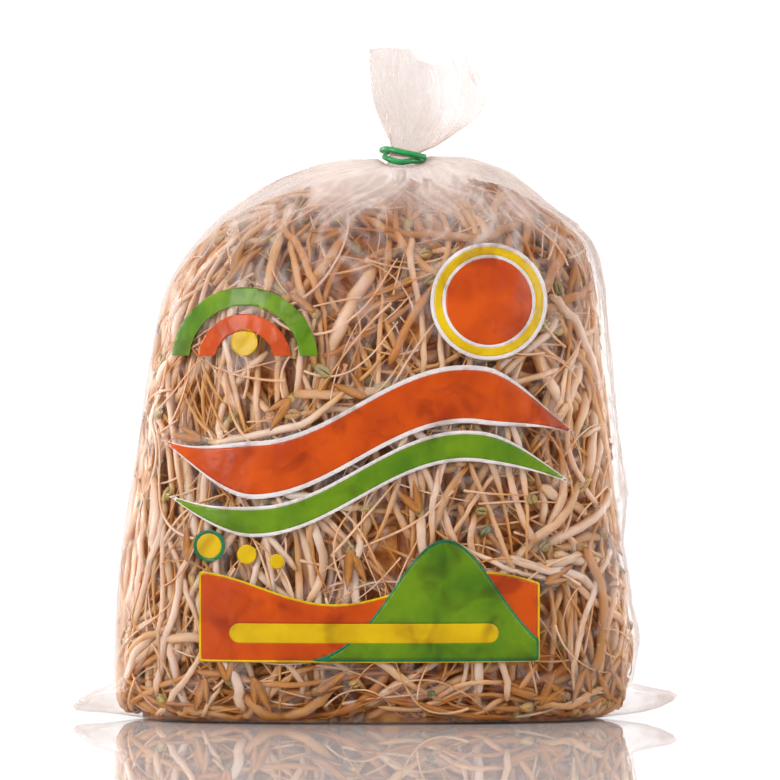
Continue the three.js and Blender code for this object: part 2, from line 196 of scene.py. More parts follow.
def close_pairs(points, reach):
    """Pairs of points nearer than reach, found by sorting them into a grid."""
    cell = np.floor(points / reach).astype(np.int64)
    cell -= cell.min(0) - 1
    size = cell.max(0) + 3
    key = (cell[:, 0] * size[1] + cell[:, 1]) * size[2] + cell[:, 2]
    order = np.argsort(key, kind="stable")
    sorted_key, first, second = key[order], [], []
    steps = [(a, b, c) for a in (-1, 0, 1) for b in (-1, 0, 1) for c in (-1, 0, 1) if (a, b, c) >= (0, 0, 0)]
    for a, b, c in steps:
        target = key + (a * size[1] + b) * size[2] + c
        low = np.searchsorted(sorted_key, target, "left")
        many = np.searchsorted(sorted_key, target, "right") - low
        i = np.repeat(np.arange(len(key)), many)
        j = order[np.arange(many.sum()) + np.repeat(low - np.cumsum(many) + many, many)]
        keep = i < j if (a, b, c) == (0, 0, 0) else slice(None)
        first.append(i[keep])
        second.append(j[keep])
    i, j = np.concatenate(first), np.concatenate(second)
    near = ((points[i] - points[j]) ** 2).sum(1) < reach**2
    return i[near], j[near]


owner = np.repeat(np.arange(SPROUTS), POINTS)
room_taken = radii.copy()
room_taken[bears_bean, 0] = BEAN_ROOM
room_taken = room_taken.ravel()
spans = {k: np.linalg.norm(lines[:, k:] - lines[:, :-k], axis=-1) for k in (2, 4)}
spans[1] = np.repeat(step[:, None], POINTS - 1, 1)
for sweep in range(SWEEPS):
    flat = lines.reshape(-1, 3)
    if sweep % 3 == 0:
        i, j = close_pairs(flat, NEAR)
        apart = owner[i] != owner[j]
        i, j = i[apart], j[apart]
    gap = flat[i] - flat[j]
    distance = np.maximum(np.linalg.norm(gap, axis=1), 1e-6)
    overlap = np.maximum((room_taken[i] + room_taken[j]) * CROWDING - distance, 0)
    push = gap / distance[:, None] * (overlap * 0.5)[:, None]
    many = len(flat)
    moved = np.stack([np.bincount(i, p, many) - np.bincount(j, p, many) for p in push.T], -1)
    hits = 1 + np.bincount(i, overlap > 0, many) + np.bincount(j, overlap > 0, many)
    flat = flat + moved * (PUSH / np.sqrt(hits))[:, None]
    here, out = depth_under_film(flat)
    least = gap_at(flat[:, 2]) + PRESSED * room_taken
    inward = np.maximum(least - here, 0) - np.maximum(here - BUNCH_DEPTH, 0) * PULL
    flat = flat - out * inward[:, None]
    flat[:, 2] = np.maximum(flat[:, 2], CLEAR_OF_FLOOR + 0.7 * room_taken)
    lines = flat.reshape(lines.shape)
    for k, stiffness in ((4, 0.25), (2, 0.4), (1, 1.0)):
        for phase in range(2 * k):
            a = np.arange(phase, POINTS - k, 2 * k)
            rod = lines[:, a + k] - lines[:, a]
            size = np.maximum(np.linalg.norm(rod, axis=-1, keepdims=True), 1e-6)
            fix = rod / size * (size - spans[k][:, a][..., None]) * (0.5 * stiffness)
            lines[:, a] += fix
            lines[:, a + k] -= fix


def mesh_piece(name, vertices, faces, material, slot, node, smooth=True, **values):
    """A piece from arrays in millimetres: its faces by number of corners, and values on its vertices."""
    mesh = bpy.data.meshes.new(name)
    mesh.vertices.add(len(vertices))
    mesh.vertices.foreach_set("co", (np.asarray(vertices) * MM).astype(np.float32).ravel())
    sizes = np.concatenate([np.full(len(f), f.shape[1]) for f in faces])
    corners = np.concatenate([f.ravel() for f in faces])
    mesh.loops.add(len(corners))
    mesh.loops.foreach_set("vertex_index", corners.astype(np.int32))
    mesh.polygons.add(len(sizes))
    mesh.polygons.foreach_set("loop_start", (np.cumsum(sizes) - sizes).astype(np.int32))
    mesh.polygons.foreach_set("use_smooth", np.full(len(sizes), smooth))
    for key, numbers in values.items():
        mesh.attributes.new(key, "FLOAT", "POINT").data.foreach_set("value", np.asarray(numbers, np.float32))
    mesh.update(calc_edges=True)
    mesh.validate()
    mesh.materials.append(material)
    piece = bpy.data.objects.new(name, mesh)
    bpy.context.scene.collection.objects.link(piece)
    if node:
        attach(piece, "root")
        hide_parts(node)
    return piece


def grid_faces(rings, sides):
    """The walls and the two ends of a tube whose rings follow each other."""
    r, s = (a.ravel() for a in np.meshgrid(np.arange(rings - 1), np.arange(sides), indexing="ij"))
    after = (s + 1) % sides
    walls = np.stack([r * sides + s, r * sides + after, (r + 1) * sides + after, (r + 1) * sides + s], -1)
    return walls, np.stack([np.arange(sides)[::-1], (rings - 1) * sides + np.arange(sides)])


def tubes(paths, widths, sides, fluting=0.0):
    """Closed tubes along paths: vertices, faces, how far along each vertex lies, and its rib's height."""
    n, rings, _ = paths.shape
    ahead = unit(np.gradient(paths, axis=1))
    across = unit(np.cross(ahead[:, 0], [0.31, 0.22, 0.93]))
    circle = np.arange(sides) * 2 * math.pi / sides
    vertices = np.zeros((n, rings, sides, 3))
    ribs = random.standard_normal((n, 1, sides)) + 0.4 * random.standard_normal((n, rings, sides))
    for r in range(rings):
        across = unit(across - ahead[:, r] * (across * ahead[:, r]).sum(1, keepdims=True))
        up = np.cross(ahead[:, r], across)
        ring = across[:, None] * np.cos(circle)[:, None] + up[:, None] * np.sin(circle)[:, None]
        reach = widths[:, r, None] * (1 + fluting * np.clip(ribs[:, r], -2, 2))
        vertices[:, r] = paths[:, r, None] + ring * reach[..., None]
    walls, ends = grid_faces(rings, sides)
    first = (np.arange(n) * rings * sides)[:, None, None]
    share = np.broadcast_to(np.linspace(0, 1, rings)[None, :, None], (n, rings, sides)).ravel()
    faces = [(walls + first).reshape(-1, 4), (ends + first).reshape(-1, sides)]
    return vertices.reshape(-1, 3), faces, share, ribs.ravel()


def srgb(code):
    """An sRGB hex colour as linear RGBA."""
    parts = [int(code[i:i + 2], 16) / 255 for i in (1, 3, 5)]
    return [p / 12.92 if p <= 0.04045 else ((p + 0.055) / 1.055) ** 2.4 for p in parts] + [1.0]


def add(tree, kind, settings=None, **links):
    """A shader node with its settings and links: input=node for its first output, or (node, output)."""
    made = tree.nodes.new("ShaderNode" + kind)
    for key, value in (settings or {}).items():
        if key == "stops":
            for _ in value[2:]:
                made.color_ramp.elements.new(0.5)
            for element, (position, colour) in zip(made.color_ramp.elements, value):
                element.position = position
                element.color = srgb(colour)
        elif isinstance(key, int) or key in made.inputs:
            made.inputs[key].default_value = value
        else:
            setattr(made, key, value)
    for key, link in links.items():
        source, output = link if isinstance(link, tuple) else (link, 0)
        target = int(key[1:]) if key[1:].isdigit() else key.replace("_", " ")
        tree.links.new(source.outputs[output], made.inputs[target])
    return made


MULTIPLY = {"data_type": "RGBA", "blend_type": "MULTIPLY"}  # a mix of colours 6 and 7, out at 2


def empty_material(name):
    """A material with no shader yet, its node tree, and the coordinates for its patterns, as a link."""
    material = bpy.data.materials.new(name)
    material.use_nodes = True
    material.node_tree.nodes.clear()
    return material, material.node_tree, (add(material.node_tree, "TexCoord"), "Object")


# Fresh plant tissue: moist and waxy, off-white, going tan down the root, with brown bruises, and painted
# shade that browns the stems lying deeper.
stem_skin, tree, place = empty_material("fresh_white_stem_moist")
along_link, tone_link, rib_link, deep_link = (
    (add(tree, "Attribute", {"attribute_name": name}), "Fac") for name in ("along", "tone", "rib", "deep")
)
down = add(tree, "ValToRGB", {"stops": (
    (0.0, "#D6BE92"), (0.06, "#F2E2CC"), (0.3, "#FBF2E6"), (0.5, "#F6E9D3"), (0.68, "#E2C28C"),
    (1.0, "#C89E5A"),
)}, Fac=along_link)
tint = add(tree, "ValToRGB", {"stops": (
    (0.0, "#D0A868"), (0.14, "#F0DAB6"), (0.38, "#FFF8EE"), (1.0, "#FFFFFF"),
)}, Fac=tone_link)
bruises = add(tree, "TexNoise", {"Scale": 1 / (15 * MM), "Detail": 2.0}, Vector=place)
bruise = add(tree, "ValToRGB", {"stops": ((0.36, "#C4995E"), (0.54, "#FFFFFF"))}, Fac=bruises)
rib = add(tree, "Math", {"operation": "MULTIPLY_ADD", 1: 0.22, 2: 0.5}, _0=rib_link)
streak = add(tree, "ValToRGB", {"stops": ((0.05, "#DFC09A"), (0.45, "#FFFFFF"))}, Fac=rib)
streaked = add(tree, "Mix", {**MULTIPLY, "Factor": 0.7}, _6=tint, _7=streak)
tinted = add(tree, "Mix", {**MULTIPLY, "Factor": 0.85}, _6=down, _7=(streaked, 2))
bruised = add(tree, "Mix", {**MULTIPLY, "Factor": 0.32}, _6=(tinted, 2), _7=bruise)
# Painted shade: the deeper a stem lies under the film (its deep value), the browner and darker it is painted.
depth_shade = add(tree, "ValToRGB", {"stops": (
    (0.0, "#FFFFFF"), (0.18, "#FAE9CC"), (0.55, "#DAAA60"), (1.0, "#B87C34"),
)}, Fac=deep_link)
colour = add(tree, "Mix", {**MULTIPLY, "Factor": 1.0}, _6=(bruised, 2), _7=depth_shade)
grain = add(tree, "TexNoise", {"Scale": 1 / (1.3 * MM), "Detail": 1.0}, Vector=place)
bump = add(tree, "Bump", {"Strength": 0.4, "Distance": 0.25 * MM}, Height=grain)
skin = add(tree, "BsdfPrincipled", {"Roughness": 0.36, "IOR": 1.38}, Base_Color=(colour, 2), Normal=bump)
glow = add(tree, "BsdfTranslucent", {"Color": srgb("#F6C474")}, Normal=bump)
flesh = add(tree, "MixShader", {0: 0.46}, _1=skin, _2=glow)
add(tree, "OutputMaterial", Surface=flesh)


def press_in(vertices):
    """Vertices kept under the film and off the floor, and how deep each lies."""
    here, out = depth_under_film(vertices)
    vertices = vertices - out * np.maximum(gap_at(vertices[:, 2]) - here, 0)[:, None]
    vertices[:, 2] = np.maximum(vertices[:, 2], CLEAR_OF_FLOOR)
    return vertices, here


widths = radii * (1 + 0.05 * random.standard_normal(radii.shape))
widths[:, 0] *= 0.55
widths[:, -1] *= 0.4
middle_x, middle_z = lines[:, POINTS // 2, 0], lines[:, POINTS // 2, 2]
# Darker towards the bottom and towards the upper right: in the stems' tone, and through shaded as painted
# shade.
darker_zone = rise(-middle_z, -30, -8) + 0.8 * rise(middle_z, 125, 165) * rise(middle_x, -70, -20)
# Each sprout's own random tone, with painted light making stems paler towards the left, and darker low down
# and at the upper right.
tones = random.random(SPROUTS) + 0.4 * rise(-middle_x, 20, 70) - 0.35 * darker_zone
BUNDLES = 4
for bundle in range(BUNDLES):
    mine = np.arange(SPROUTS) % BUNDLES == bundle
    vertices, faces, share, ribs = tubes(lines[mine], widths[mine], STEM_SIDES, 0.09)
    vertices, here = press_in(vertices)
    tone = np.repeat(tones[mine], POINTS * STEM_SIDES)
    # Painted shade: browner low down and at the upper right, along the floor contact in the lowest few
    # millimetres, and deeper under the film.
    shaded = 0.4 * np.repeat(darker_zone[mine], POINTS * STEM_SIDES) + 0.5 * rise(-vertices[:, 2], -4, -0.5)
    deep = np.clip((here - 2.5) / 12, 0, 1) + shaded
    mesh_piece(
        f"sprout_stems_{bundle + 1}", vertices, faces, stem_skin, "sprout", "sprouts",
        along=share, tone=tone, rib=ribs, deep=deep,
    )

# ---- loose roots
# Thin roots that broke off when the sprouts were washed and packed. They lie loose and curled
# against the inside of the film, some tan and some bleached white.

ROOTS = 700
ROOT_POINTS, ROOT_SIDES = 18, 4
ROOT_LENGTH = (24, 66)
ROOT_WIDTH = (0.32, 0.7)  # half of it, where a root is thickest
TAN = 0.7  # of the roots; the others are bleached
root_depth = random.uniform(FILM_GAP, FILM_GAP + 4.5, ROOTS)
root_lines = grow(
    places_under_film(ROOTS, root_depth), random.random(ROOTS) * 2 * math.pi, root_depth, ROOT_POINTS,
    random.uniform(*ROOT_LENGTH, ROOTS) / ROOT_POINTS,
    random.normal(0, 0.02, ROOTS), random.normal(0, 0.03, ROOTS),
)
root_widths = random.uniform(*ROOT_WIDTH, ROOTS)[:, None] * (1 - 0.6 * np.linspace(0, 1, ROOT_POINTS))
vertices, faces, share, ribs = tubes(root_lines, root_widths, ROOT_SIDES)
vertices, _ = press_in(vertices)
pale = np.repeat(random.random(ROOTS), ROOT_POINTS * ROOT_SIDES)
# deep here: a little painted shade on every loose root.
mesh_piece(
    "loose_roots", vertices, faces, stem_skin, "sprout", "sprouts",
    along=0.3 + 0.6 * share * (pale < TAN), tone=0.3 + 0.7 * pale, rib=ribs, deep=0.12 + 0 * share,
)

# ---- seed leaves
# The bean that fed the sprout: its two halves still sit at the stem's end, shrunken, gone
# from green to yellow-brown, and tilted over like a hook.

LOBE = np.array([(-1, 0.1), (-0.86, 0.5), (-0.5, 0.86), (0, 1), (0.5, 0.9), (0.85, 0.55), (1, 0.1)])
LOBE_SIDES = 8
LOBE_LENGTH = (3.1, 4.5)  # half of it


def lobes(middles, axes, sides_out, lengths):
    """Plump half beans: flat towards their partner, round outwards."""
    axes = unit(axes)
    sides_out = unit(sides_out - axes * (sides_out * axes).sum(1, keepdims=True))
    across = np.cross(axes, sides_out)
    turn = np.arange(LOBE_SIDES) * 2 * math.pi / LOBE_SIDES
    ring_out = np.where(np.cos(turn) > 0, np.cos(turn) * 0.46, np.cos(turn) * 0.12)
    along_axis = LOBE[:, 0][:, None] * np.ones(LOBE_SIDES)
    outwards, crosswise = LOBE[:, 1][:, None] * ring_out, LOBE[:, 1][:, None] * np.sin(turn) * 0.52
    bow = -0.18 * LOBE[:, 0][:, None] ** 2
    shape = (
        axes[:, None, None] * along_axis[..., None] + sides_out[:, None, None] * (outwards + bow)[..., None]
        + across[:, None, None] * crosswise[..., None]
    ) * lengths[:, None, None, None]
    vertices = (middles[:, None, None] + shape).reshape(-1, 3)
    walls, ends = grid_faces(len(LOBE), LOBE_SIDES)
    first = (np.arange(len(middles)) * len(LOBE) * LOBE_SIDES)[:, None, None]
    return vertices, [  # turned over, because these rings run the other way round
        (walls[:, [0, 3, 2, 1]] + first).reshape(-1, 4), (ends[:, ::-1] + first).reshape(-1, LOBE_SIDES),
    ]


# Shrivelled seed leaf: matt, yellow-olive to brown, with darker patches, finely wrinkled.
bean_skin, tree, place = empty_material("seed_leaf_yellow_brown")
tone_node = add(tree, "Attribute", {"attribute_name": "tone"})
hue = add(tree, "ValToRGB", {"stops": (
    (0.0, "#7E5A36"), (0.3, "#A67C46"), (0.55, "#B08F4A"), (0.8, "#94874A"), (1.0, "#8C6B52"),
)}, Fac=(tone_node, "Fac"))
patches = add(tree, "TexNoise", {"Scale": 1 / (3.5 * MM), "Detail": 3.0}, Vector=place)
patch = add(tree, "ValToRGB", {"stops": ((0.32, "#6B4526"), (0.6, "#FFFFFF"))}, Fac=patches)
colour = add(tree, "Mix", {**MULTIPLY, "Factor": 0.6}, _6=hue, _7=patch)
wrinkles = add(tree, "TexNoise", {"Scale": 1 / (0.9 * MM), "Detail": 2.0}, Vector=place)
bump = add(tree, "Bump", {"Strength": 0.6, "Distance": 0.3 * MM}, Height=wrinkles)
skin = add(tree, "BsdfPrincipled", {"Roughness": 0.46}, Base_Color=(colour, 2), Normal=bump)
add(tree, "OutputMaterial", Surface=skin)

beans = np.flatnonzero(bears_bean)
stem_end, stem_way = lines[beans, 0], unit(lines[beans, 0] - lines[beans, 2])
hook = unit(stem_way + 0.75 * random.standard_normal(stem_way.shape))
bean_length = random.uniform(*LOBE_LENGTH, len(beans))
bean_middle = stem_end + hook * (bean_length * 0.65)[:, None]
bean_middle = settle(bean_middle, np.maximum(depth_under_film(bean_middle)[0], FILM_GAP + 2.2))
beside = unit(np.cross(hook, random.standard_normal(hook.shape)))
bean_tone = random.random(len(beans))
vertices, faces = lobes(
    np.concatenate([bean_middle + 0.35 * beside, bean_middle - 0.35 * beside]),
    np.concatenate([hook + 0.12 * beside, hook - 0.22 * beside]),
    np.concatenate([beside, -beside]), np.concatenate([bean_length, bean_length * 0.94]),
)
vertices, _ = press_in(vertices)
mesh_piece(
    "seed_leaves", vertices, faces, bean_skin, "sprout", "sprouts",
    tone=np.repeat(np.concatenate([bean_tone, bean_tone]), len(LOBE) * LOBE_SIDES),
)

# ---- seed coats
# The tough green skins that the beans shed as they swell, curved like small cups. A few are left
# after the washing, loose between the stems.

COATS = 22
COAT_LENGTH = (2.3, 3.0)  # half of it
coat_depth = random.uniform(FILM_GAP + 2, FILM_GAP + 5, COATS)
coat_middle = places_under_film(COATS, coat_depth)
coat_axis = random.standard_normal((COATS, 3))
coat_length = random.uniform(*COAT_LENGTH, COATS)
vertices, faces = lobes(coat_middle, coat_axis, depth_under_film(coat_middle)[1], coat_length)
vertices, _ = press_in(vertices)
# Shed seed coat: thin and leathery, dark olive green with a dull shine.
coat_skin, tree, place = empty_material("seed_coat_dark_green")
patches = add(tree, "TexNoise", {"Scale": 1 / (2 * MM), "Detail": 3.0}, Vector=place)
hue = add(tree, "ValToRGB", {"stops": ((0.3, "#2C3A14"), (0.7, "#5E6E2A"))}, Fac=patches)
bump = add(tree, "Bump", {"Strength": 0.5, "Distance": 0.2 * MM}, Height=patches)
skin = add(tree, "BsdfPrincipled", {"Roughness": 0.4}, Base_Color=hue, Normal=bump)
add(tree, "OutputMaterial", Surface=skin)
mesh_piece("seed_coats", vertices, faces, coat_skin, "sprout", "sprouts")

# ---- true leaves
# The first pair of leaves, thin and spear-shaped, gone from green to a glassy amber-brown.
# They spread from between the seed leaves and stick flat to the film.

LEAF_PAIRS = 60
LEAF_LENGTH = (10, 15.5)
LEAF_WIDTH = 0.135  # half of it, as a share of the length
LEAF_THICKNESS = 0.35
LEAF_STEPS, LEAF_COLUMNS = 9, 5

LEAF_PLACES = np.array([  # pairs that lie on the film: across, height, and the way they point
    (-50, 180, 262), (-63, 17, 262), (-44, 18, 282), (-12, 190, 200), (62, 52, 15), (-70, 60, 80),
])

near_film = np.argsort(depth_under_film(bean_middle)[0] + 2.5 * random.random(len(beans)))[:LEAF_PAIRS]
leaf_root = np.repeat(bean_middle[near_film], 2, 0)
placed = 2 * len(LEAF_PLACES)
leaf_root[:placed] = np.repeat(settle(
    LEAF_PLACES[:, [0, 1, 1]] * [1, 0, 1] + [0, -40.0, 0], np.full(len(LEAF_PLACES), FILM_GAP + 1)
), 2, 0)
outward = depth_under_film(leaf_root)[1]
way = np.repeat(hook[near_film], 2, 0)
points_to = np.radians(np.repeat(LEAF_PLACES[:, 2], 2))
way[:placed] = np.stack([np.cos(points_to), 0 * points_to, np.sin(points_to)], -1)
way = unit(way - outward * (way * outward).sum(1, keepdims=True))
sideways = np.cross(outward, way)
spread = random.normal(0.24, 0.12, 2 * LEAF_PAIRS) * np.tile([1, -1], LEAF_PAIRS)
way, sideways = (
    way * np.cos(spread)[:, None] + sideways * np.sin(spread)[:, None],
    sideways * np.cos(spread)[:, None] - way * np.sin(spread)[:, None],
)
leaf_length = random.uniform(*LEAF_LENGTH, 2 * LEAF_PAIRS)
u, v = np.linspace(0, 1, LEAF_STEPS), np.linspace(-1, 1, LEAF_COLUMNS)
blade = np.sin(math.pi * u**0.75) ** 0.8 * (1 - u * 0.25) + 0.07
along_leaf = leaf_length[:, None, None] * u[None, :, None] * np.ones(LEAF_COLUMNS)
off_axis = leaf_length[:, None, None] * LEAF_WIDTH * blade[None, :, None] * v
curl = random.normal(0, 0.5, 2 * LEAF_PAIRS)[:, None, None] * np.abs(v) * blade[None, :, None]
surface = (
    leaf_root[:, None, None] + way[:, None, None] * along_leaf[..., None]
    + sideways[:, None, None] * off_axis[..., None]
)
surface = settle(surface, FILM_GAP * 0.75 + 0.25 + np.abs(curl) + 0 * off_axis)
surface[..., 2] = np.maximum(surface[..., 2], 1.6)
lift = depth_under_film(surface)[1] * (LEAF_THICKNESS / 2)
shell = np.stack([surface + lift, surface - lift], 1).reshape(-1, 3)
wrapped, _ = grid_faces(LEAF_STEPS, LEAF_COLUMNS)
face = wrapped.reshape(LEAF_STEPS - 1, LEAF_COLUMNS, 4)[:, :-1].reshape(-1, 4)  # a leaf is open at its sides
sheet = LEAF_STEPS * LEAF_COLUMNS
rim = np.concatenate([
    np.arange(LEAF_COLUMNS), np.arange(1, LEAF_STEPS) * LEAF_COLUMNS + LEAF_COLUMNS - 1,
    sheet - 2 - np.arange(LEAF_COLUMNS - 1), np.arange(LEAF_STEPS - 2, 0, -1) * LEAF_COLUMNS,
])
edge = np.stack([rim, rim + sheet, np.roll(rim, -1) + sheet, np.roll(rim, -1)], -1)
one_leaf = np.concatenate([face, face[:, ::-1] + sheet, edge])
faces = [(one_leaf + (np.arange(2 * LEAF_PAIRS) * 2 * sheet)[:, None, None]).reshape(-1, 4)]
vein = np.tile(np.broadcast_to(np.abs(v), (LEAF_STEPS, LEAF_COLUMNS)).ravel(), 4 * LEAF_PAIRS)

# Wilted leaf: thin and glassy, amber with darker edges, the light coming through it.
leaf_skin, tree, place = empty_material("wilted_leaf_amber")
vein_node = add(tree, "Attribute", {"attribute_name": "vein"})
streaks = add(tree, "TexNoise", {"Scale": 1 / (3 * MM), "Detail": 4.0}, Vector=place)
mixed = add(tree, "Math", {"operation": "MULTIPLY_ADD", 1: 0.5, 2: 0.05}, _0=(vein_node, "Fac"))
summed = add(tree, "Math", {"operation": "MULTIPLY_ADD", 1: 0.6}, _0=streaks, _2=mixed)
hue = add(tree, "ValToRGB", {"stops": ((0.15, "#D09A48"), (0.45, "#B8782C"), (0.85, "#8A5018"))}, Fac=summed)
bump = add(tree, "Bump", {"Strength": 0.5, "Distance": 0.25 * MM}, Height=streaks)
skin = add(tree, "BsdfPrincipled", {"Roughness": 0.28}, Base_Color=hue, Normal=bump)
glow = add(tree, "BsdfTranslucent", Color=hue)
both = add(tree, "MixShader", {0: 0.3}, _1=skin, _2=glow)
add(tree, "OutputMaterial", Surface=both)
mesh_piece("true_leaves", shell, faces, leaf_skin, "sprout", "sprouts", vein=vein)

# ---- the packed middle
# Deeper in, the same sprouts lie so close that only brown shade shows between the outer ones. One
# ridged body stands for them, and the loose sprouts round it hold it in place.

HEART_DEPTH = 12
HEART_FOOT = 14  # up to here it goes straight down to the bag's base
HEART_ROWS, HEART_COLUMNS = 60, 150
heart_z = np.linspace(1.5, BUNCH_TOP - 9, HEART_ROWS)
ring_angle = np.arange(HEART_COLUMNS) * 2 * math.pi / HEART_COLUMNS
power = 2 / BOXINESS
c, s = np.cos(ring_angle), np.sin(ring_angle)
across = (np.interp(heart_z, room_z, room_width) * 0.8)[:, None] * np.sign(c) * np.abs(c) ** power
deep = (np.interp(heart_z, room_z, room_depth) * 0.7)[:, None] * np.sign(s) * np.abs(s) ** power
heart = np.stack([
    across + np.interp(heart_z, room_z, room_middle)[:, None], deep,
    np.repeat(heart_z[:, None], HEART_COLUMNS, 1),
], -1)
ridges = np.array([
    abs(noise.noise(Vector((math.cos(7 * a) * 2 + z / 60, math.sin(7 * a) * 2, z / 26)))) * 5.5
    for z in heart_z for a in ring_angle
]).reshape(HEART_ROWS, HEART_COLUMNS)
heart = settle(heart, HEART_DEPTH - 1 + ridges)
heart[..., 2] = np.minimum(heart[..., 2], BUNCH_TOP - 6)
foot = np.searchsorted(heart_z, HEART_FOOT)
heart[:foot, :, :2] = heart[foot, :, :2]
heart[:foot, :, 2] = np.linspace(0.4, heart[foot, :, 2].min() - 1, foot)[:, None]
# Sprouts in the shade of the others: matt, in browns that stand for the shadows between them.
shade, tree, place = empty_material("shaded_sprouts_brown")
patches = add(tree, "TexNoise", {"Scale": 1 / (5 * MM), "Detail": 5.0}, Vector=place)
hue = add(tree, "ValToRGB", {"stops": ((0.3, "#A45A1C"), (0.5, "#D68A38"), (0.7, "#EEB45E"))}, Fac=patches)
bump = add(tree, "Bump", {"Strength": 0.8, "Distance": 1.0 * MM}, Height=patches)
skin = add(
    tree, "BsdfPrincipled", {"Roughness": 0.7, "Specular IOR Level": 0.2},
    Base_Color=hue, Normal=bump,
)
add(tree, "OutputMaterial", Surface=skin)
mesh_piece(
    "sprouts_packed_middle", heart.reshape(-1, 3), grid_faces(HEART_ROWS, HEART_COLUMNS), shade,
    "sprout", "sprouts",
)

# ---- the film
# One tube of clear, crisp plastic film. It is welded flat across the bottom, so its two corners
# stick out as ears; it is gathered into pleats at the neck and opens above in a loose tuft.

NECK_STATIONS = np.array([  # the throat, the neck under the tie, and the tuft up to its edge
    (206, 3, 25, 9), (207.6, -3.2, 17.2, 6.4), (210.8, -4.3, 16.7, 6.2), (214.4, -4.6, 25, 6.8),
    (218.5, -2.8, 31, 8), (225, -0.6, 39, 10), (233, 2.6, 42.4, 11.5), (242, 3.8, 42.5, 12.5),
    (249, 3.6, 39, 13),
])
TUFT_EDGE = np.array([  # the tuft's torn edge: across and height, a square block and two raised wings
    (-4, 249.8), (4, 251.2), (15.5, 250.6), (18, 247), (25, 244.5), (31, 247), (35, 252.2), (38, 241),
    (43, 243.5),
])
BILLOWS = (  # bulges and dips of the loose film down the right edge: height, half height, reach
    (31, 9, 2.1), (64, 7, -1.1), (86, 11, 1.6),
)
SWELL_LEFT, SWELL_RIGHT = 3.5, 4.5  # of the two shoulders beside the neck
SWELL_START = 194
EAR_TIP, EAR_HEIGHT, EAR_HALF_RISE, EAR_HALF_DEPTH = 113.4, 6.5, 6, 10
FILM_THICKNESS = 0.14
FILM_TOP = 252.4
FILM_COLUMNS = 252
BODY_ROWS, TUFT_ROWS = 126, 58

stations = np.concatenate([BODY_STATIONS, NECK_STATIONS])
lengths = np.hypot(np.diff(stations[:, 0]), np.diff(stations[:, 1:3].sum(1) / 2))
profile = np.column_stack([np.concatenate([[0], np.cumsum(lengths)]), stations])
throat_at = profile[len(BODY_STATIONS), 0]
row_at = np.concatenate([
    np.linspace(0, throat_at, BODY_ROWS, endpoint=False), np.linspace(throat_at, profile[-1, 0], TUFT_ROWS),
])
row_z, row_left, row_right, row_depth = (smooth_through(row_at, profile, k) for k in (1, 2, 3, 4))
rows = len(row_at)
is_tuft = rise(row_at, profile[-6, 0], profile[-4, 0])
gathered = rise(row_z, 128, 203) * (1 - is_tuft)

share = np.arange(FILM_COLUMNS) / FILM_COLUMNS  # of the way round, from the right edge past the back
outer = np.zeros((rows, FILM_COLUMNS, 3))
facing = np.zeros((rows, FILM_COLUMNS, 3))
angles = np.zeros((rows, FILM_COLUMNS))
fine = np.linspace(0, 2 * math.pi, 1441)
fine_x, fine_y = (np.sign(t) * np.abs(t) ** power for t in (np.cos(fine), np.sin(fine)))
for r in range(rows):
    middle, width = (row_right[r] - row_left[r]) / 2, (row_right[r] + row_left[r]) / 2
    x, y = fine_x * width, fine_y * row_depth[r]
    walked = np.concatenate([[0], np.cumsum(np.hypot(np.diff(x), np.diff(y)))])
    angles[r] = np.interp(share * walked[-1], walked, fine)
    outer[r, :, 0], outer[r, :, 1] = np.interp(angles[r], fine, x), np.interp(angles[r], fine, y)
    tangent = np.roll(outer[r], -1, 0) - np.roll(outer[r], 1, 0)
    facing[r] = unit(np.stack([tangent[:, 1], -tangent[:, 0], 0 * share], -1))
    outer[r, :, 0] += middle
outer[..., 2] = row_z[:, None]


def fold(turns):
    """A fold for each whole turn: a sharp ridge at 0, a round valley at 1."""
    return np.abs(np.sin(math.pi * turns))


S, Z = np.meshgrid(share, row_z)
up, tuft, bunched = (column[:, None] for column in (row_at, is_tuft, gathered))
sway = 0.22 * np.sin(2 * math.pi * (3 * S + up / 90)) + 0.16 * np.sin(2 * math.pi * (5 * S - up / 57) + 1)
spots = [Vector(spot) for spot in outer.reshape(-1, 3)]
lumps, crinkle = (np.array(values).reshape(rows, FILM_COLUMNS) for values in (
    [noise.noise(p / 24) for p in spots],
    [1 - 2 * abs(noise.noise(Vector((p.x / 9, p.y / 9, p.z / 13 + 7)))) for p in spots],
))
# the pleats under the neck, in three sizes: so many of each go round the bag
wide, mid, small = fold(11 * S + 1.6 * sway), fold(24 * S + 2.4 * sway + 0.3), fold(43 * S + 3 * sway + 0.7)
pleats = 1.25 * wide + 0.8 * mid + 0.45 * small
ridge = (
    np.exp(-((wide / 0.16) ** 2)) + 0.8 * np.exp(-((mid / 0.2) ** 2)) + 0.6 * np.exp(-((small / 0.25) ** 2))
)
side = np.exp(-((np.minimum(S, 1 - S) / 0.055) ** 2)) + 0.6 * np.exp(-((np.abs(S - 0.5) / 0.045) ** 2))
side = side * rise(Z, 12, 40) * (1 - tuft)
billow = sum(reach * np.exp(-(((Z - height) / half) ** 2)) for height, half, reach in BILLOWS)
billow = billow * np.exp(-((np.minimum(S, 1 - S) / 0.045) ** 2))
tuft_fold = tuft * np.minimum(row_depth * 0.6, 7.5)[:, None] * (0.2 + 0.8 * np.abs(np.sin(angles)))
neck = rise(up, profile[-9, 0], profile[-8, 0]) * (1 - rise(up, profile[-6, 0], profile[-5, 0]))
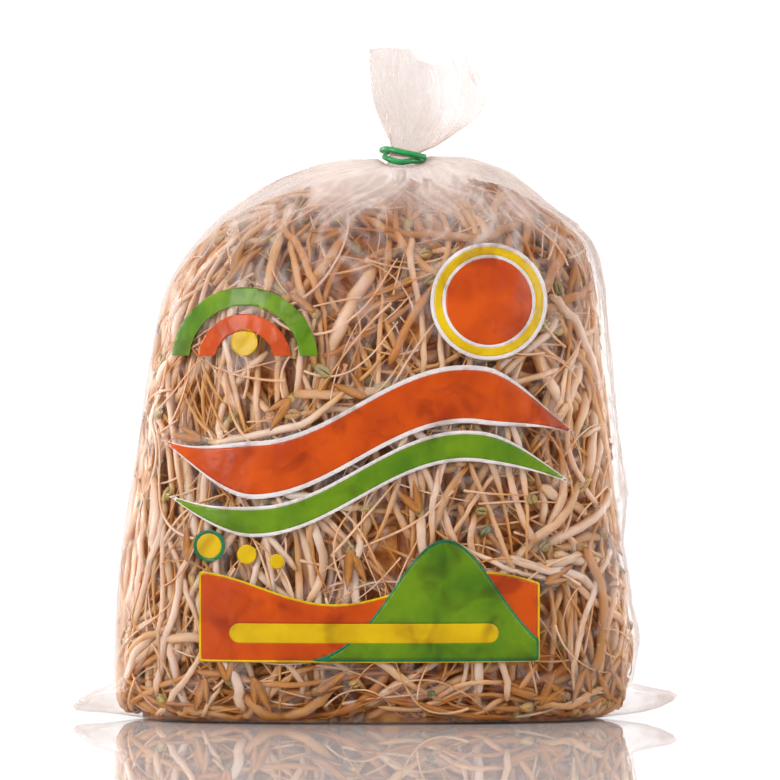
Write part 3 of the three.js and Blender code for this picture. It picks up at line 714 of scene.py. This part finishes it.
inward = (
    bunched * (1 - 0.75 * neck) * pleats * 1.05  # gathered towards the neck
    + side * (fold(58 * S + 2 * sway) + 0.5 * fold(97 * S - 2 * sway))  # upright wrinkles at both sides
    + 0.45 * (lumps + 0.6) * (1 - tuft) * rise(Z, 1, 12)  # broad dents
    + 0.3 * np.clip(crinkle, 0, 1) ** 2 * rise(Z, 1, 8)  # sharp creases
    + tuft_fold * (
        0.75 * fold(7 * S + 0.9 * sway) + 0.3 * fold(15 * S + 2 * sway + 0.2) + 0.08 * fold(31 * S + 0.5)
    )
    + neck * (0.4 * fold(13 * S + sway) + 0.2 * fold(29 * S))  # drawn in tight by the tie
    - billow
)
crease = np.clip(
    ridge * (bunched + 0.3 * tuft) + np.clip(crinkle, 0, 1) ** 6 * (0.5 + 1.2 * side)
    + 0.5 * side * rise(lumps, 0.05, 0.3), 0, 1,
)
outer -= facing * inward[..., None]

swell_share = rise(Z, SWELL_START - 4, 206) * (1 - rise(up, throat_at, profile[-8, 0]))
swell_side = np.where(np.cos(angles) < 0, SWELL_LEFT, SWELL_RIGHT)
outer[..., 2] += swell_share * swell_side * np.cos(angles) ** 2
edge_share = rise(up, profile[-4, 0], profile[-1, 0])
edge_x = outer[-1, :, 0] + np.where(outer[-1, :, 1] > 0, 2.5, 0)  # the back edge is cut a little to one side
outer[..., 2] += edge_share * (np.interp(edge_x, TUFT_EDGE[:, 0], TUFT_EDGE[:, 1]) - row_z[-1])
ear = np.clip(1 - ((Z - EAR_HEIGHT) / EAR_HALF_RISE) ** 2, 0, 1)
ear = ear * np.exp(-((outer[..., 1] / EAR_HALF_DEPTH) ** 2))
ear_side = np.sign(outer[..., 0])
outer[..., 0] += ear_side * ear * (EAR_TIP - np.abs(outer[..., 0]))
outer[..., 2] += ear * np.where(ear_side > 0, 1.5, -2.5) * rise(np.abs(outer[..., 0]), 98, 114)
outer[..., 2] = np.clip(outer[..., 2], 0, FILM_TOP)

round_way = np.roll(outer, -1, 1) - np.roll(outer, 1, 1)
up_way = np.gradient(outer, axis=0)
normal = unit(np.cross(round_way, up_way))
inner = outer - normal * FILM_THICKNESS
inner[0] = outer[0] * [0.998, 0.996, 1] + [0, 0, FILM_THICKNESS]
inner[..., 2] = np.maximum(inner[..., 2], FILM_THICKNESS)
wall, _ = grid_faces(rows, FILM_COLUMNS)
many = rows * FILM_COLUMNS
around = np.arange(FILM_COLUMNS)
top = (rows - 1) * FILM_COLUMNS + around
lip = np.stack([top, np.roll(top, -1), np.roll(top, -1) + many, top + many], -1)
faces = [np.concatenate([wall, wall[:, ::-1] + many, lip]), np.stack([around[::-1], around + many])]
to_edge = rise(up, profile[-6, 0], profile[-1, 0])
slack = np.clip(0.14 + 0.7 * bunched**1.6 + 0.9 * tuft + 0.5 * side, 0, 1)
near_neck = rise(Z, 175, 206) * (1 - tuft) * np.clip(0.55 + 1.6 * lumps, 0, 1)
ear_folds = 1 - fold(1.1 * outer[..., 0] + 0.9 * outer[..., 2])
ear_pleats = 0.6 * ear * ear_folds * rise(np.abs(outer[..., 0]), 97, 101)
milk = np.clip(near_neck + ear_pleats, 0, 1)
wing = tuft * rise(outer[..., 0], 15, 29)  # the tuft's right side lies open, in fewer folds
gather_value = np.clip(
    bunched * 0.7 + neck + tuft * (0.95 - 0.45 * to_edge) * (1 - 0.7 * wing)
    + 0.5 * crease * (1 - 0.6 * wing) + 0.35 * ear + ear_pleats, 0, 1,
)

# Thin clear film: glass-clear where it lies flat, milky in its creases and where many folds
# lie behind each other, with a crisp shine that breaks up over fine wrinkles.
clear_film, tree, place = empty_material("clear_crisp_film")
crease_link, gather_link, slack_link, milk_link = (
    (add(tree, "Attribute", {"attribute_name": name}), "Fac")
    for name in ("crease", "gather", "slack", "milk")
)
stretch = add(tree, "Mapping", {"Scale": (1, 1, 0.4)}, Vector=place)
wrinkles = add(tree, "TexNoise", {"Scale": 1 / (7 * MM), "Detail": 2.0}, Vector=stretch)
height = add(tree, "Math", {"operation": "MULTIPLY"}, _0=wrinkles, _1=slack_link)
bump = add(tree, "Bump", {"Strength": 0.9, "Distance": 1.6 * MM}, Height=height)
grazing = add(tree, "LayerWeight", {"Blend": 0.5}, Normal=bump)
steep = add(tree, "Math", {"operation": "POWER", 1: 5.0}, _0=(grazing, "Facing"))
mirror = add(tree, "Math", {"operation": "MULTIPLY_ADD", 1: 0.36, 2: 0.004}, _0=steep)
dimmed = add(tree, "ValToRGB", {"stops": ((0.0, "#FEFDFD"), (1.0, "#F3EFED"))}, Fac=gather_link)
through = add(tree, "BsdfTransparent", Color=dimmed)
shine = add(tree, "BsdfGlossy", {"Roughness": 0.05}, Normal=bump)
clear = add(tree, "MixShader", _0=mirror, _1=through, _2=shine)
white = add(tree, "BsdfDiffuse", {"Color": srgb("#F6EEEA")}, Normal=bump)
lit_through = add(tree, "BsdfTranslucent", {"Color": srgb("#F6EEEA")}, Normal=bump)
milky = add(tree, "MixShader", {0: 0.5}, _1=white, _2=lit_through)
veins = add(tree, "ValToRGB", {"stops": ((0.52, "#000000"), (0.72, "#FFFFFF"))}, Fac=wrinkles)
haze = add(tree, "Math", {"operation": "MULTIPLY_ADD", 1: 0.46, 2: 0.001}, _0=milk_link)
for source, part in ((gather_link, 0.02), (crease_link, 0.2), (steep, 0.16)):
    haze = add(tree, "Math", {"operation": "MULTIPLY_ADD", 1: part}, _0=source, _2=haze)
veiled = add(tree, "Math", {"operation": "MULTIPLY", 1: 0.16}, _0=veins)
haze = add(tree, "Math", {"operation": "MULTIPLY_ADD"}, _0=veiled, _1=gather_link, _2=haze)
film = add(tree, "MixShader", _0=haze, _1=clear, _2=milky)
add(tree, "OutputMaterial", Surface=film)
mesh_piece(
    "clear_film_bag", np.concatenate([outer.reshape(-1, 3), inner.reshape(-1, 3)]), faces, clear_film, "film",
    "bag_film", crease=np.tile(crease.ravel(), 2), gather=np.tile(gather_value.ravel(), 2),
    milk=np.tile(milk.ravel(), 2), slack=np.tile(slack.ravel(), 2),
)

# ---- the print
# Nearly opaque ink on the outside of the front: a plain pattern of a sun, waves, arcs and a hill in
# orange, green and yellow, with white outlines. Each colour is a thin layer of its own.

INK_OFF, INK_THICKNESS = 0.07, 0.07
PRINT_STEP = 1.1
print_x, print_z = np.arange(-84, 81, PRINT_STEP), np.arange(22, 180, PRINT_STEP)
X, Y = np.meshgrid(print_x, print_z)


def from_centre(x, z):
    return np.hypot(X - x, Y - z)


fade = rise(X, -82, -44) * rise(-X, -78, -40)  # the waves run out to points
wave = (Y - (108 + 14 * np.sin((X + 6) / 25))) * 0.92
ribbon, under = np.abs(wave) - 8.2 * fade, np.abs(wave + 17.5) - 4 * fade
panel = np.maximum.reduce([np.abs(X + 2) - 62, 24 - Y, Y - 50 - 6 * np.sin((X - 12) / 17)])
hill = np.maximum.reduce([np.abs(X + 2) - 62, 24 - Y, (Y - 22 - 46 * np.exp(-((X - 26) / 27) ** 2)) * 0.75])
stripe = np.hypot(np.maximum(np.abs(X + 4) - 46, 0), Y - 34) - 3.6
sun, arc, below, dot = from_centre(42, 156), from_centre(-48, 134), 136 - Y, from_centre(-61, 66)
INKS = {  # each colour's dark and light tone, and its shapes: the fields that are all below 0 there
    "dark_green": ("#145A38", "#1F6E46", [
        [hill - 0.45, -hill - 0.45, -stripe], [dot - 5.9, 4.6 - dot],
    ]),
    "yellow": ("#B49000", "#CAA804", [
        [stripe], [dot - 4.6], [from_centre(-47, 63) - 3.6], [from_centre(-36, 60.5) - 2.8],
        [from_centre(-48, 141) - 5], [sun - 20.2, 17.2 - sun],
        [panel - 0.8, -panel, 0.45 - hill],
    ]),
    "green": ("#42680A", "#60800C", [
        [hill + 0.45, -stripe], [arc - 27.2, 20.6 - arc, below], [under],
    ]),
    "orange": ("#9E3400", "#B84600", [
        [panel, 0.45 - hill, -stripe], [ribbon], [sun - 16], [arc - 17.4, 11 - arc, below],
    ]),
    "white": ("#B8AEAD", "#CEC6C4", [
        [ribbon - 1.5 * fade - 0.1, -ribbon], [under - 1.1 * fade - 0.1, -under],
        [sun - 21.6, 20.2 - sun], [sun - 17.2, 16 - sun],
    ]),
}

body_rows = slice(0, BODY_ROWS)
front = np.arange(FILM_COLUMNS // 2 + 4, FILM_COLUMNS - 3)
print_place, print_out = np.zeros(X.shape + (3,)), np.zeros(X.shape + (3,))
for k, z in enumerate(print_z):
    row = np.interp(z, row_z[body_rows], np.arange(BODY_ROWS))
    low, part = int(row), row - int(row)
    film_row = outer[low, front] * (1 - part) + outer[low + 1, front] * part
    out_row = normal[low, front] * (1 - part) + normal[low + 1, front] * part
    order = np.argsort(film_row[:, 0])
    for axis in range(3):
        print_place[k, :, axis] = np.interp(print_x, film_row[order, 0], film_row[order, axis])
        print_out[k, :, axis] = np.interp(print_x, film_row[order, 0], out_row[order, axis])
print_place[..., 0] = X
print_out = unit(print_out)


def cut_out(fields):
    """The part of the print's grid where every field is below 0, cut along its edges."""
    high, wide = X.shape
    index = np.arange(high * wide).reshape(high, wide)
    corners = index[:-1, :-1], index[:-1, 1:], index[1:, 1:], index[1:, :-1]
    a, b, c, d = (corner.ravel() for corner in corners)
    triangles = np.concatenate([np.stack([a, b, c], -1), np.stack([a, c, d], -1)])
    values = np.stack([field.ravel() for field in fields], -1)
    inside = values[triangles] < 0
    whole = inside.all((1, 2))
    known = np.concatenate([print_place.reshape(-1, 3), print_out.reshape(-1, 3), values], -1)
    pieces = [known[triangles[whole]].reshape(-1, known.shape[1])]
    for triangle in triangles[inside.any(1).all(1) & ~whole]:
        corners = list(known[triangle])
        for k in range(6, known.shape[1]):
            kept = []
            for p, q in zip(corners, corners[1:] + corners[:1]):
                if p[k] < 0:
                    kept.append(p)
                if (p[k] < 0) != (q[k] < 0):
                    kept.append(p + (q - p) * (p[k] / (p[k] - q[k])))
            corners = kept
        for k in range(1, len(corners) - 1):
            pieces.append(np.array([corners[0], corners[k], corners[k + 1]]))
    return np.concatenate(pieces)[:, :6]


for colour, (dark, light, shapes) in INKS.items():
    spots = np.concatenate([cut_out(fields) for fields in shapes])
    _, first, corner = np.unique(np.round(spots[:, :3], 3), axis=0, return_index=True, return_inverse=True)
    spots, faces = spots[first], corner.reshape(-1, 3)
    faces = faces[(faces != np.roll(faces, 1, 1)).all(1)]
    directed = np.concatenate([faces[:, [0, 1]], faces[:, [1, 2]], faces[:, [2, 0]]])
    _, inverse, uses = np.unique(np.sort(directed, 1), axis=0, return_inverse=True, return_counts=True)
    border = directed[uses[inverse.ravel()] == 1]
    many = len(spots)
    rim = np.stack([border[:, 1], border[:, 0], border[:, 0] + many, border[:, 1] + many], -1)
    out = unit(spots[:, 3:])
    vertices = np.concatenate([spots[:, :3] + out * (INK_OFF + INK_THICKNESS), spots[:, :3] + out * INK_OFF])
    # Flexo ink on film: solid, a little uneven in density, with the film's soft shine.
    ink, tree, place = empty_material(f"printed_ink_{colour}")
    cloud = add(tree, "TexNoise", {"Scale": 1 / (16 * MM), "Detail": 5.0}, Vector=place)
    tone = add(tree, "ValToRGB", {"stops": ((0.35, dark), (0.65, light))}, Fac=cloud)
    # Brownish blotches: painted shade, the shadows of the sprouts behind the film showing through the ink.
    shadow_noise = add(tree, "TexNoise", {"Scale": 1 / (15 * MM), "Detail": 2.0, "Distortion": 1.0}, Vector=place)
    painted_sprout_shadows = add(
        tree, "ValToRGB", {"stops": ((0.3, "#B09878"), (0.48, "#FFFFFF"), (1.0, "#FFFFFF"))}, Fac=shadow_noise
    )
    hue = add(tree, "Mix", {**MULTIPLY, "Factor": 0.55}, _6=tone, _7=painted_sprout_shadows)
    wrinkles = add(tree, "TexNoise", {"Scale": 1 / (11 * MM), "Detail": 3.0}, Vector=place)
    bump = add(tree, "Bump", {"Strength": 0.6, "Distance": 1.0 * MM}, Height=wrinkles)
    coat = add(
        tree, "BsdfPrincipled", {"Roughness": 0.3, "Alpha": 0.93, "Specular IOR Level": 0.2},
        Base_Color=(hue, 2), Normal=bump,
    )
    add(tree, "OutputMaterial", Surface=coat)
    mesh_piece(f"ink_{colour}", vertices, [faces, faces[:, ::-1] + many, rim], ink, "film", "bag_film")

# ---- the tie
# A green plastic-covered wire, wound one and a half times round the neck and bent back over
# the front. Its covering has soft lengthwise ridges over the wire.

TIE_RADIUS = 1.1
TIE_LINE = np.array([
    (18.9, -6.4, 209.9), (14.4, -8, 210.9), (9, -8, 212.1), (4.4, -5.6, 213), (2.6, -0.4, 212.7),
    (4.8, 5.4, 212.2), (10.5, 7.9, 211.4), (16.3, 5.4, 210.5), (18.4, 0, 209.5), (16.6, -4.8, 208.7),
    (13.4, -7.5, 208.5), (9.5, -8.4, 208), (5.6, -7.6, 209), (3.3, -5.2, 210.3),
])
last = len(TIE_LINE) - 1
at = np.linspace(0, last, last * 10 + 1)
i = np.clip(np.floor(at).astype(int), 0, last - 1)
t = (at - i)[:, None]
before, here, after, beyond = (TIE_LINE[np.clip(i + k, 0, last)] for k in (-1, 0, 1, 2))
line = 0.5 * (
    2 * here + (after - before) * t + (2 * before - 5 * here + 4 * after - beyond) * t**2
    + (3 * here - before - 3 * after + beyond) * t**3
)
thickness = np.full(len(line), TIE_RADIUS)
thickness[[0, -1]] *= 0.8
vertices, faces, *_ = tubes(line[None], thickness[None], 16)

# Soft vinyl over wire: saturated green, satin, with length-wise streaks of light.
vinyl, tree, place = empty_material("green_vinyl_covered_wire")
mottle = add(tree, "TexNoise", {"Scale": 1 / (2.5 * MM), "Detail": 4.0}, Vector=place)
hue = add(tree, "ValToRGB", {"stops": ((0.3, "#066A30"), (0.7, "#0E8A44"))}, Fac=mottle)
bump = add(tree, "Bump", {"Strength": 0.35, "Distance": 0.15 * MM}, Height=mottle)
coat = add(tree, "BsdfPrincipled", {"Roughness": 0.34}, Base_Color=hue, Normal=bump)
add(tree, "OutputMaterial", Surface=coat)
mesh_piece("neck_tie_wire", vertices, faces, vinyl, "tie", "neck_tie")

# ---- camera, floor and light
# A white sweep with a polished white floor, lit softly from all round, with softboxes whose
# reflections draw the film.

FRAME_WIDTH = 292.5  # across the picture at the bag's middle
SENSOR_WIDTH = 36
CAMERA_DISTANCE = 2400
CAMERA_RISE = math.radians(0.8)
LOOK_AT = Vector((5.6, 0, 122.8)) * MM
ROOM_SIDE, ROOM_FRONT, ROOM_BACK = 4000, -2600, 3200
BACKDROP_FOOT, BACKDROP_TOP = -400, 3600
FLOOR_LEVEL = -0.2  # just under the bag, so that they share no face
scene = bpy.context.scene
camera = bpy.data.objects.new("camera", bpy.data.cameras.new("camera"))
camera.data.sensor_width = SENSOR_WIDTH
camera.data.lens = SENSOR_WIDTH * CAMERA_DISTANCE / FRAME_WIDTH
offset = Vector((0, -math.cos(CAMERA_RISE), math.sin(CAMERA_RISE))) * CAMERA_DISTANCE * MM
camera.location = LOOK_AT + offset
camera.rotation_euler = (-offset).to_track_quat("-Z", "Y").to_euler()
camera.data.clip_end = 50
scene.collection.objects.link(camera)
scene.camera = camera
scene.view_settings.view_transform = "Standard"
scene.cycles.transparent_max_bounces = 24
scene.cycles.max_bounces = 6
scene.cycles.diffuse_bounces = 3

world = bpy.data.worlds.new("white_room")
world.use_nodes = True
tree = world.node_tree
direction = add(tree, "TexCoord")
axes = add(tree, "SeparateXYZ", Vector=(direction, "Generated"))
room_light = add(
    tree, "MapRange", {"From Min": -0.75, "From Max": 0.25, "To Min": 0.85, "To Max": 1.05}, Value=(axes, "Y")
)
tree.links.new(room_light.outputs["Result"], tree.nodes["Background"].inputs["Strength"])
tree.nodes["Background"].inputs["Color"].default_value = (1, 1, 1, 1)
scene.world = world

# Lit white paper: it glows evenly, so that the bag stands against plain white.
lit_paper, tree, _ = empty_material("lit_white_backdrop")
glow = add(tree, "Emission", {"Color": (1, 1, 1, 1), "Strength": 1.2})
add(tree, "OutputMaterial", Surface=glow)
one_face = [np.array([[0, 1, 2, 3]])]
backdrop = mesh_piece("backdrop", [
    (-ROOM_SIDE, ROOM_BACK, BACKDROP_FOOT), (ROOM_SIDE, ROOM_BACK, BACKDROP_FOOT),
    (ROOM_SIDE, ROOM_BACK, BACKDROP_TOP), (-ROOM_SIDE, ROOM_BACK, BACKDROP_TOP),
], one_face, lit_paper, None, None)

# Polished white acrylic: a pale mirror of the bag under it.
acrylic, tree, _ = empty_material("polished_white_acrylic")
gloss = add(tree, "BsdfPrincipled", {"Base Color": srgb("#C0BAB9"), "Roughness": 0.02, "IOR": 1.9})
add(tree, "OutputMaterial", Surface=gloss)
floor = mesh_piece("floor", [
    (-ROOM_SIDE, ROOM_FRONT, FLOOR_LEVEL), (ROOM_SIDE, ROOM_FRONT, FLOOR_LEVEL),
    (ROOM_SIDE, ROOM_BACK, FLOOR_LEVEL), (-ROOM_SIDE, ROOM_BACK, FLOOR_LEVEL),
], one_face, acrylic, None, None)

for name, where, size, power in (
    ("softbox_left", (-800, -750, 560), (320, 700), 10.6),
    ("softbox_right", (850, -500, 420), (200, 700), 4.0),
    ("softbox_top", (60, -150, 1100), (500, 500), 2.0),
    ("strip_behind_left", (-700, 330, 320), (200, 800), 5.0),
    ("strip_behind_right", (720, 360, 320), (200, 800), 3.0),
):
    lamp = bpy.data.objects.new(name, bpy.data.lights.new(name, "AREA"))
    lamp.data.shape = "RECTANGLE"
    lamp.data.size, lamp.data.size_y = size[0] * MM, size[1] * MM
    lamp.data.energy = power
    lamp.location = Vector(where) * MM
    lamp.rotation_euler = (LOOK_AT - lamp.location).to_track_quat("-Z", "Y").to_euler()
    scene.collection.objects.link(lamp)
